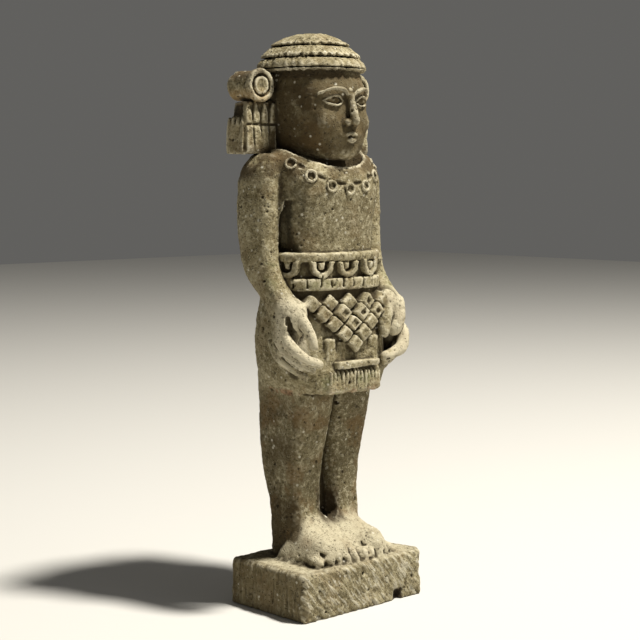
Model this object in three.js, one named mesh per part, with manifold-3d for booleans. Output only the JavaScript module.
// Standing figure carved from one block of porous volcanic stone, on its own plinth.
// Millimetres, +Z up. The figure faces -Y and its left hand is on the +X side.
// The origin is the middle of the plinth's underside.
import * as THREE from "three";
import { mergeVertices } from "three/addons/utils/BufferGeometryUtils.js";
import Module from "manifold-3d";

const wasm = await Module();
wasm.setup();

// ---------------------------------------------------------------- driving sizes
const HEIGHT = 620;
const PLINTH = { width: 178, depth: 120, height: 51, corner: 7, edge: 3.5 };
const SKIRT_HEM = 235;
const BELT = { bottom: 345.5, band: 358.5, rim: 376.5, top: 386, half: 71, deep: 47, mid: 12.5, full: 2.8 };
const U_PITCH = 34.4;
const LATTICE = { across: 26, down: 11, top: 332, rows: 5, face: -44.5, back: -30, gap: 1.5 };
const FRINGE = { ribs: 14, pitch: 5.4, top: 260, face: -47 };
const SPOOL = { x: 72, z: 563, front: 24, back: 65, radius: 17.5, ring: 12.8, boss: 9.6 };
const TASSEL = { top: 545, bottom: 491, front: 28, back: 57, strands: 4 };
const NECKLACE = { ring: 7, wire: 1.8 };
const CAP = { brim: 581, second: 594.5, third: 607.5 };
const SEGMENTS = 20;
const TOLERANCE = 1;

// ---------------------------------------------------------------- small helpers
const P = (x, y, z) => new THREE.Vector3(x, y, z);
const power = (v, p) => Math.pow(Math.abs(v), p);

// A closed watertight body from any three.js geometry.
function solid(geometry) {
  const loose = geometry.index ? geometry.toNonIndexed() : geometry;
  const plain = new THREE.BufferGeometry();
  plain.setAttribute("position", loose.getAttribute("position").clone());
  const merged = mergeVertices(plain, 1e-4);
  const at = merged.getAttribute("position");
  const corner = [P(0, 0, 0), P(0, 0, 0), P(0, 0, 0)];
  const faces = [];
  let volume = 0;
  for (let i = 0; i < merged.index.count; i += 3) {
    const tri = [0, 1, 2].map((k) => merged.index.getX(i + k));
    if (tri[0] === tri[1] || tri[1] === tri[2] || tri[2] === tri[0]) continue;
    tri.forEach((v, k) => corner[k].fromBufferAttribute(at, v));
    volume += corner[0].dot(corner[1].clone().cross(corner[2]));
    faces.push(tri);
  }
  if (volume < 0) faces.forEach((tri) => tri.reverse());
  return new wasm.Manifold(new wasm.Mesh({
    numProp: 3,
    vertProperties: new Float32Array(at.array),
    triVerts: new Uint32Array(faces.flat()),
  }));
}

// Skin over a stack of closed loops, closed with a fan at both ends.
function skin(loops) {
  const n = loops[0].length;
  const points = loops.flat();
  const index = [];
  for (let k = 0; k + 1 < loops.length; k++) {
    for (let i = 0; i < n; i++) {
      const a = k * n + i;
      const b = k * n + ((i + 1) % n);
      index.push(a, b, b + n, a, b + n, a + n);
    }
  }
  [0, loops.length - 1].forEach((k) => {
    const middle = points.length;
    const centre = P(0, 0, 0);
    loops[k].forEach((p) => centre.addScaledVector(p, 1 / n));
    points.push(centre);
    for (let i = 0; i < n; i++) {
      const a = k * n + i;
      const b = k * n + ((i + 1) % n);
      if (k === 0) index.push(middle, b, a);
      else index.push(middle, a, b);
    }
  });
  const geometry = new THREE.BufferGeometry().setFromPoints(points);
  geometry.setIndex(index);
  return geometry;
}

// A level outline: half width, how far it reaches to the front and to the back, and how square it is.
function outline(s, around = SEGMENTS) {
  const mid = s.mid ?? 12;
  return Array.from({ length: around }, (_, i) => {
    const turn = ((i + 0.5) / around) * 2 * Math.PI;
    const c = Math.cos(turn);
    const d = Math.sin(turn);
    const deep = d < 0 ? mid - s.front : s.back - mid;
    const full = d < 0 ? s.full : (s.fullBack ?? s.full);
    const reach = Math.pow(power(c / s.half, full) + power(d / deep, full), -1 / full);
    return P((s.x ?? 0) + reach * c, mid + reach * d, s.z);
  });
}

const stack = (stations, around) => solid(skin(stations.map((s) => outline(s, around))));

const station = (z, half, front, back, full = 2.6, more = {}) => ({ z, half, front, back, full, ...more });

// A rounded rod along a curve; the radius runs smoothly through the given values.
function rod(points, radii, around = 6, steps = 5) {
  const curve = new THREE.CatmullRomCurve3(points);
  const frames = curve.computeFrenetFrames(steps, false);
  const loops = [];
  for (let k = 0; k <= steps; k++) {
    const t = k / steps;
    const at = t * (radii.length - 1);
    const i = Math.min(Math.floor(at), radii.length - 2);
    const thick = radii[i] + (radii[i + 1] - radii[i]) * (at - i);
    const tip = k === 0 || k === steps ? 0.55 : 1;
    const centre = curve.getPointAt(t);
    loops.push(Array.from({ length: around }, (_, j) => {
      const turn = (j / around) * 2 * Math.PI;
      return centre.clone()
        .addScaledVector(frames.normals[k], thick * tip * Math.cos(turn))
        .addScaledVector(frames.binormals[k], thick * tip * Math.sin(turn));
    }));
  }
  return solid(skin(loops));
}

function block(x0, x1, y0, y1, z0, z1) {
  const box = new THREE.BoxGeometry(x1 - x0, y1 - y0, z1 - z0);
  box.translate((x0 + x1) / 2, (y0 + y1) / 2, (z0 + z1) / 2);
  return solid(box);
}

function boulder(x, y, z, rx, ry, rz, across = 8, down = 5) {
  const ball = new THREE.SphereGeometry(1, across, down);
  ball.scale(rx, ry, rz);
  ball.translate(x, y, z);
  return solid(ball);
}

const mirror = (shape) => shape.mirror([1, 0, 0]);
const both = (shape) => shape.add(mirror(shape));
const union = (list) => wasm.Manifold.union(list);

// ---------------------------------------------------------------- plinth
function plinth() {
  const x = PLINTH.width / 2 - PLINTH.edge;
  const y = PLINTH.depth / 2 - PLINTH.edge;
  const r = PLINTH.corner - PLINTH.edge;
  const plan = new THREE.Shape();
  plan.absarc(x - r, y - r, r, 0, Math.PI / 2);
  plan.absarc(r - x, y - r, r, Math.PI / 2, Math.PI);
  plan.absarc(r - x, r - y, r, Math.PI, 1.5 * Math.PI);
  plan.absarc(x - r, r - y, r, 1.5 * Math.PI, 2 * Math.PI);
  const slab = new THREE.ExtrudeGeometry(plan, {
    depth: PLINTH.height - 2 * PLINTH.edge,
    bevelSize: PLINTH.edge,
    bevelThickness: PLINTH.edge,
    bevelSegments: 1,
    curveSegments: 2,
  });
  slab.translate(0, 0, PLINTH.edge);
  const chip = new THREE.IcosahedronGeometry(8.5, 0);
  chip.scale(1.15, 0.8, 1);
  chip.translate(54, -PLINTH.depth / 2 - 1.5, 2);
  return solid(slab).subtract(solid(chip));
}

// ---------------------------------------------------------------- legs and feet
function leg() {
  const level = (z, half, front, back) => station(z, half, front, back, 4.2, {
    x: 28.5,
    mid: (front + back) / 2,
  });
  return stack([
    level(PLINTH.height - 6, 21, -2, 42),
    level(94, 21, -4, 44),
    level(112, 20.5, -2, 47),
    level(136, 22, -2, 55),
    level(160, 24, -4, 59),
    level(186, 26, -10, 60.5),
    level(215, 27, -17, 59),
    level(SKIRT_HEM + 20, 32, -20, 57),
  ], 16);
}

// The two feet are one sloping mass, parted by a shallow valley.
function feet() {
  const level = (z, half, front, back) => station(z, half, front, back, 2.7, { mid: -3, fullBack: 5 });
  const mass = stack([
    level(PLINTH.height - 5, 61, -52, 26),
    level(64, 57, -45, 20),
    level(74, 51, -32, 14),
    level(84, 45, -18, 8),
    level(92, 39, -9, 4),
    level(97, 33, -5, 2),
  ]);
  const insteps = both(boulder(30, -20, 62, 25, 32, 20));
  const valley = rod([P(0, 6, 98), P(0, -12, 89), P(0, -32, 77), P(0, -60, 62)], [6, 5, 4, 3], 6, 3);
  const toes = Array.from({ length: 5 }, (_, i) => {
    const x = 7.5 + i * 11.2;
    const y = -45 + 0.45 * i * i;
    return both(boulder(x, y, PLINTH.height + 5, 6, 10, 8.4 - 0.5 * i, 6, 4));
  });
  return union([mass.add(insteps).subtract(valley), ...toes]);
}

// ---------------------------------------------------------------- trunk
function skirt() {
  const level = (z, half, front, back, full = 3) => station(z, half, front, back, full, { mid: 11 });
  return stack([
    level(SKIRT_HEM, 56, -43, 57),
    level(SKIRT_HEM + 5, 61, -46, 58.5),
    level(252, 68.5, -44, 60),
    level(268, 72.5, -42, 61),
    level(290, 74, -38, 62),
    level(315, 72, -34, 60.5),
    level(332, 68, -31, 58),
    level(BELT.bottom + 2, 67.5, -30, 57.5),
  ]);
}

function beltLevel(z, inset) {
  const deep = BELT.deep - inset;
  return station(z, BELT.half - inset, BELT.mid - deep, BELT.mid + deep, BELT.full, { mid: BELT.mid });
}

// Walks the belt's outline from the middle of the front; returns the place and the outward turn.
function onBelt(run, inset) {
  const side = Math.sign(run) || 1;
  let turn = -Math.PI / 2;
  let walked = 0;
  const spot = (a) => {
    const half = BELT.half - inset;
    const deep = BELT.deep - inset;
    const reach = Math.pow(power(Math.cos(a) / half, BELT.full) + power(Math.sin(a) / deep, BELT.full),
      -1 / BELT.full);
    return P(reach * Math.cos(a), BELT.mid + reach * Math.sin(a), 0);
  };
  const step = 0.005 * side;
  while (walked < Math.abs(run)) {
    walked += spot(turn).distanceTo(spot(turn + step));
    turn += step;
  }
  const along = spot(turn + 0.01).sub(spot(turn - 0.01)).normalize();
  return { place: spot(turn), turn: Math.atan2(along.y, along.x) };
}

function setOnBelt(geometry, run, inset, z) {
  const { place, turn } = onBelt(run, inset);
  geometry.rotateZ(turn);
  geometry.translate(place.x, place.y, z);
  return solid(geometry);
}

// One U-shaped motif standing up in the belt's middle band, with a boss between its arms.
function uMotif(run) {
  const low = BELT.band;
  const tall = BELT.rim - BELT.band;
  const u = new THREE.Shape();
  u.moveTo(-14.5, tall);
  u.absarc(0, 10.5, 12.5, Math.PI * 0.93, Math.PI * 2.07);
  u.lineTo(14.5, tall);
  u.lineTo(8.5, tall);
  u.absarc(0, 10.5, 6.5, Math.PI * 2.03, Math.PI * 0.97, true);
  u.lineTo(-8.5, tall);
  const arms = new THREE.ExtrudeGeometry(u, { depth: 7, bevelEnabled: false, curveSegments: 3 });
  arms.rotateX(Math.PI / 2);
  arms.translate(0, 1.8, 0);
  const boss = new THREE.BoxGeometry(6, 7, 9);
  boss.translate(0, -1.2, tall - 4.5);
  return setOnBelt(arms, run, 4.5, low).add(setOnBelt(boss, run, 4.5, low));
}

function belt() {
  const bands = [
    stack([beltLevel(BELT.bottom, 1.5), beltLevel(BELT.bottom + 2, 0), beltLevel(BELT.band, 0)]),
    stack([beltLevel(BELT.band - 2, 4.5), beltLevel(BELT.rim + 2, 4.5)]),
    stack([beltLevel(BELT.rim, 0.5), beltLevel(BELT.top - 2, 0.5), beltLevel(BELT.top, 2.5)]),
  ];
  const motifs = [-2, -1, 0, 1, 2].map((i) => uMotif(i * U_PITCH));
  const notches = [];
  for (let i = -5; i <= 4; i++) {
    const notch = new THREE.BoxGeometry(2, 5, BELT.band - BELT.bottom - 4);
    notches.push(setOnBelt(notch, (i + 0.5) * 15.5, 0, (BELT.bottom + BELT.band) / 2 + 2));
  }
  return union([...bands, ...motifs]).subtract(union(notches));
}

function torso() {
  const level = (z, half, front, back, full = 2.5) => station(z, half, front, back, full, { mid: 13 });
  return stack([
    level(BELT.top - 3, 63, -29, 55),
    level(402, 61.5, -29.5, 55),
    level(425, 64, -33, 56),
    level(450, 67.5, -36.5, 57),
    level(468, 70, -33, 57),
    level(480, 70, -25, 56),
    level(490, 65, -12, 53),
    level(496, 55, 0, 48),
  ]);
}

// ---------------------------------------------------------------- arms and hands
function arm() {
  const level = (z, x, half, front, back) => station(z, half, front, back, 2.5, {
    x,
    mid: (front + back) / 2,
  });
  return stack([
    level(300, 74, 13, -34, -4),
    level(318, 74.9, 13.5, -38, 4),
    level(331, 75.6, 13.5, -35, 9),
    level(343, 76.3, 13.5, -22, 20),
    level(358, 77, 14, -8, 38),
    level(378, 76.8, 15, -1, 46),
    level(408, 76.4, 16, 1, 52.5),
    level(440, 76, 16, 1, 53),
    level(462, 74, 17, 0, 53),
    level(478, 68, 18, 0, 51),
    level(491, 60, 15, 5, 46),
  ], 14);
}

// The open slot between the upper arm and the waist.
function armSlot() {
  const level = (z, half, back) => station(z, half, -45, back, 2.4, { x: 61.5, mid: -9 });
  return stack([
    level(BELT.top - 5, 7.5, 27),
    level(398, 7, 27),
    level(425, 4.2, 20),
    level(450, 1.2, 6),
  ], 12);
}

// A row of four fingers, each following the last lower down and further back.
function fingers(ends) {
  return union(Array.from({ length: 4 }, (_, i) => rod(
    ends(i).map(([x, y, z]) => P(x, y, z)),
    [5.2 - 0.7 * i, 6.6 - 0.5 * i, 6.2 - 0.5 * i, 4.9 - 0.4 * i],
    6,
    4,
  )));
}

function palm() {
  return stack([
    station(270, 8, -24, -2, 2.5, { x: 76, mid: -13 }),
    station(282, 12, -30, 2, 2.5, { x: 76, mid: -14 }),
    station(300, 14, -33, -1, 2.5, { x: 77.5, mid: -17 }),
    station(326, 13, -34, -3, 2.5, { x: 75.5, mid: -18 }),
  ], 14);
}

// The right hand reaches down and inwards, its thumb apart from the first finger.
function rightHand() {
  const line = [P(73, -32, 322), P(69.5, -40, 311), P(66, -44.5, 301), P(63.5, -47, 289)];
  const thumb = rod(line, [7.6, 7, 6, 4.8], 6, 4);
  const four = fingers((i) => [
    [85, -21 + 9 * i, 305 - 6.5 * i],
    [84, -33 + 9.2 * i, 290 - 7.5 * i],
    [75, -43.5 + 7.8 * i, 277 - 8 * i],
    [57 + 4 * i, -48 + 6 * i, 270 - 7.2 * i],
  ]);
  return mirror(union([palm(), thumb, four]));
}

// The left hand lies flat, its first finger curled under the thumb.
function leftHand() {
  const heel = rod([P(80, -26, 324), P(74, -33, 310), P(68, -36, 300)], [11, 11, 9], 6, 2);
  const line = [P(68, -25, 334), P(58, -33, 320), P(51, -37, 306), P(48, -40, 296)];
  const thumb = rod(line, [8, 8.5, 7.5, 5.5], 6, 4);
  const four = fingers((i) => [
    [86, -20 + 9 * i, 306 - 5 * i],
    [84, -34 + 9.2 * i, 292 - 4.5 * i],
    [73, -40.5 + 7.4 * i, 277 - 5 * i],
    [48 + 3 * i, -42 + 5 * i, 270 - 4.5 * i],
  ]);
  return union([palm(), heel, thumb, four]);
}

// ---------------------------------------------------------------- front of the skirt
// Raised diamonds in rows of five, four, three, two and one, pointing down.
function lattice() {
  const parts = [];
  for (let row = 0; row < LATTICE.rows; row++) {
    const count = LATTICE.rows - row;
    for (let i = 0; i < count; i++) {
      const x = (i - (count - 1) / 2) * LATTICE.across;
      const z = LATTICE.top - row * LATTICE.down;
      const recede = 0.0022 * x * x;
      const wide = LATTICE.across / 2 - LATTICE.gap;
      const tall = LATTICE.down - LATTICE.gap * 0.85;
      const face = LATTICE.face + recede - (row - 2) * 1.2;
      const loop = (y, k) => [P(x + wide * k, y, z), P(x, y, z + tall * k), P(x - wide * k, y, z),
        P(x, y, z - tall * k)];
      parts.push(solid(skin([loop(LATTICE.back + 6, 1), loop(face + 2.5, 1), loop(face, 0.8)])));
    }
  }
  return union(parts);
}

function apron() {
  const panel = skin([
    [P(-41, -45.5, 238), P(41, -45.5, 238), P(41, -20, 238), P(-41, -20, 238)],
    [P(-40, -42.5, 259), P(40, -42.5, 259), P(40, -20, 259), P(-40, -20, 259)],
    [P(-38, -38, 270), P(38, -38, 270), P(38, -20, 270), P(-38, -20, 270)],
    [P(-38, -34.5, 300), P(38, -34.5, 300), P(38, -20, 300), P(-38, -20, 300)],
    [P(-46, -31, 334), P(46, -31, 334), P(46, -20, 334), P(-46, -20, 334)],
  ]);
  const band = block(-29, 33.5, -49, -30, 262.5, 270);
  const folds = both(block(25.5, 37.5, -42, -28, 264, 296));
  const inner = both(block(13.5, 22.5, -40.5, -30, 264, 291)).add(block(-10.5, 10.5, -41, -30, 264, 280));
  const ribs = Array.from({ length: FRINGE.ribs }, (_, i) => {
    const x = (i - (FRINGE.ribs - 1) / 2) * FRINGE.pitch;
    const wide = FRINGE.pitch / 2 - 0.5;
    const loop = (z, y, k) => [P(x - wide * k, y, z), P(x + wide * k, y, z), P(x + wide, -30, z),
      P(x - wide, -30, z)];
    return solid(skin([loop(SKIRT_HEM + 1, FRINGE.face, 0.9), loop(FRINGE.top, FRINGE.face, 0.6)]));
  });
  return union([solid(panel), band, folds, inner, ...ribs]);
}

// ---------------------------------------------------------------- necklace
function necklace() {
  const places = [P(0, -36, 454), P(25, -33, 457), P(48, -23, 468), P(60.5, -8.4, 480.5)];
  const rings = [];
  places.forEach((p, i) => {
    const slant = [0.05, 0.12, 0.5, 0.9][i];
    const swing = [0, 0.25, 0.75, 1.0][i];
    const ring = new THREE.TorusGeometry(NECKLACE.ring - NECKLACE.wire, NECKLACE.wire, 4, 7);
    ring.rotateX(Math.PI / 2 - slant);
    ring.rotateZ(swing);
    ring.translate(p.x, p.y + 0.6, p.z);
    rings.push(solid(ring));
    if (i > 0) rings.push(mirror(solid(ring)));
  });
  return union(rings);
}

// ---------------------------------------------------------------- head
function head() {
  const level = (z, half, front, back, full = 2.4) => station(z, half, front, back, full, {
    mid: 16,
    fullBack: 3.6,
  });
  const skull = stack([
    level(484, 21, -27, 38),
    level(488, 31, -32, 50),
    level(497, 41, -35, 58),
    level(512, 47, -36, 62),
    level(532, 49.5, -35.5, 65),
    level(548, 49, -33, 66),
    level(558, 48.5, -34, 66),
    level(570, 46, -30, 64),
    level(584, 43, -25, 61),
  ]);
  const neck = stack([station(462, 44, -14, 46), station(486, 34, -8, 46), station(500, 36, -8, 48)], 18);
  const nose = skin([
    [P(-8.5, -34, 521), P(8.5, -34, 521), P(8.5, -24, 521), P(-8.5, -24, 521)],
    [P(-4.5, -45.5, 524), P(4.5, -45.5, 524), P(8.5, -24, 524), P(-8.5, -24, 524)],
    [P(-3, -42, 538), P(3, -42, 538), P(6, -24, 538), P(-6, -24, 538)],
    [P(-2.5, -37, 556), P(2.5, -37, 556), P(5, -24, 556), P(-5, -24, 556)],
  ]);
  const browLine = [P(5, -36, 555), P(17, -36, 560), P(31, -28, 557), P(36, -22, 552)];
  const brow = rod(browLine, [2, 2.6, 2.4, 1.6], 6, 4);
  const eye = boulder(18.5, -30.5, 547, 9.5, 4.5, 4.4, 8, 5);
  const upper = rod([P(-12, -33.5, 509.5), P(0, -38.5, 511.5), P(12, -33.5, 509.5)], [1.4, 2.8, 1.4], 6, 4);
  const lower = rod([P(-11, -33.5, 508), P(0, -38, 505.5), P(11, -33.5, 508)], [1.4, 3.1, 1.4], 6, 4);
  return union([skull, neck, solid(nose), both(brow), both(eye), upper, lower]);
}

function cap() {
  const level = (z, half, front, back) => station(z, half, front, back, 2.1, { mid: 20, fullBack: 4.5 });
  const tiers = [
    stack([level(CAP.brim - 2, 52, -31, 67), level(CAP.brim, 54.5, -34.5, 69.5),
      level(CAP.brim + 3, 54.5, -34.5, 69.5), level(CAP.second + 0.5, 46, -24, 66.5)]),
    stack([level(CAP.second - 2, 47, -26.5, 66.5), level(CAP.second + 1, 48.8, -28.3, 67.3),
      level(CAP.third + 0.5, 35, -13, 61)]),
    stack([level(CAP.third - 2, 37, -16, 60.5), level(CAP.third + 1, 38.2, -17, 61), level(613, 31.5, -8, 55),
      level(617, 25, -1, 48), level(HEIGHT, 15, 9, 38)]),
  ];
  const notches = [];
  [[CAP.second, 48, 47, 6], [CAP.third, 38, 36, 4]].forEach(([z, half, deep, count]) => {
    for (let i = 0; i < count; i++) {
      const turn = Math.PI * (1 + (i + 0.5) / count);
      const wedge = new THREE.BoxGeometry(1.6, 5, 5);
      wedge.rotateZ(turn + Math.PI / 2);
      wedge.translate(half * Math.cos(turn), 20 + deep * Math.sin(turn), z + 3);
      notches.push(solid(wedge));
    }
  });
  return union(tiers).subtract(union(notches));
}

function earSpool() {
  const lathe = new THREE.LatheGeometry([
    new THREE.Vector2(0, 0), new THREE.Vector2(SPOOL.boss, 0), new THREE.Vector2(SPOOL.boss, 3.5),
    new THREE.Vector2(SPOOL.ring, 3.5), new THREE.Vector2(SPOOL.ring, 0),
    new THREE.Vector2(SPOOL.radius - 1.5, 0), new THREE.Vector2(SPOOL.radius, 1.5),
    new THREE.Vector2(SPOOL.radius - 0.5, SPOOL.back - SPOOL.front - 6),
    new THREE.Vector2(SPOOL.radius - 5, SPOOL.back - SPOOL.front),
    new THREE.Vector2(0, SPOOL.back - SPOOL.front),
  ], 12);
  lathe.translate(SPOOL.x, SPOOL.front, 0);
  const stem = block(44, SPOOL.x, SPOOL.front + 8, SPOOL.back - 4, SPOOL.z - 12, SPOOL.z + 12);
  lathe.translate(0, 0, SPOOL.z);
  return solid(lathe).add(stem);
}

function tassel() {
  const loop = (z, inside, outside, front, back) => [
    P(inside, front, z),
    P(outside, front, z),
    P(outside, back, z),
    P(inside, back, z),
  ];
  const body = solid(skin([
    loop(TASSEL.bottom, 46.5, 92.5, TASSEL.front + 0.5, TASSEL.back),
    loop(TASSEL.bottom + 5, 46, 93, TASSEL.front, TASSEL.back),
    loop(523, 49, 91, TASSEL.front + 1, TASSEL.back - 1),
    loop(TASSEL.top, 52, 88, TASSEL.front + 2.5, TASSEL.back - 2),
  ]));
  const cuts = [];
  const wide = 42 / TASSEL.strands;
  for (let i = 1; i < TASSEL.strands; i++) {
    cuts.push(block(49 + wide * i - 0.9, 49 + wide * i + 0.9, TASSEL.front - 2, TASSEL.front + 3.5,
      TASSEL.bottom - 2, TASSEL.top + 2));
  }
  for (let i = 0; i <= TASSEL.strands; i++) {
    const vee = new THREE.CylinderGeometry(5, 5, 8, 3);
    vee.scale(0.8, 1, 1.4);
    vee.translate(49 + wide * i, TASSEL.front + 2, TASSEL.top + 0.5);
    cuts.push(solid(vee));
  }
  for (let i = 1; i < 4; i++) {
    const y = TASSEL.front + i * 7.2;
    cuts.push(block(89.5, 96, y - 0.9, y + 0.9, TASSEL.bottom - 2, TASSEL.top - 12));
  }
  cuts.push(block(46, 90, TASSEL.front - 2, TASSEL.front + 2.6, 521, 523));
  cuts.push(block(75, 96, TASSEL.front + 9, TASSEL.back + 2, 530, TASSEL.top + 3));
  const inside = block(38, 52, TASSEL.front + 6, TASSEL.back, TASSEL.bottom + 4, TASSEL.top);
  return body.subtract(union(cuts)).add(inside);
}

// ---------------------------------------------------------------- one block of stone
const joined = union([
  plinth(), both(leg()), feet(), block(-12, 12, 16, 46, PLINTH.height - 4, SKIRT_HEM + 10),
  skirt(), belt(), torso().add(both(arm())).subtract(both(armSlot())), rightHand(), leftHand(),
  apron(), lattice(), necklace(),
  head(), cap(), both(earSpool()), both(tassel()),
]);

// Only the outer shell counts: the stone is solid all through.
const largest = (shape) => shape.decompose().sort((a, b) => b.volume() - a.volume())[0];
const carved = largest(largest(joined).simplify(TOLERANCE));

function toGeometry(shape) {
  const mesh = shape.getMesh();
  const geometry = new THREE.BufferGeometry();
  geometry.setAttribute("position", new THREE.BufferAttribute(new Float32Array(mesh.vertProperties), 3));
  geometry.setIndex(Array.from(mesh.triVerts));
  geometry.computeVertexNormals();
  return geometry;
}

const stone = new THREE.MeshStandardMaterial({ color: 0x8b8573, roughness: 0.95, metalness: 0 });
const figure = new THREE.Mesh(toGeometry(carved), stone);
figure.name = "stone_figure";

const part = new THREE.Group();
part.name = "carved_stone_figure";
part.add(figure);
export default part;
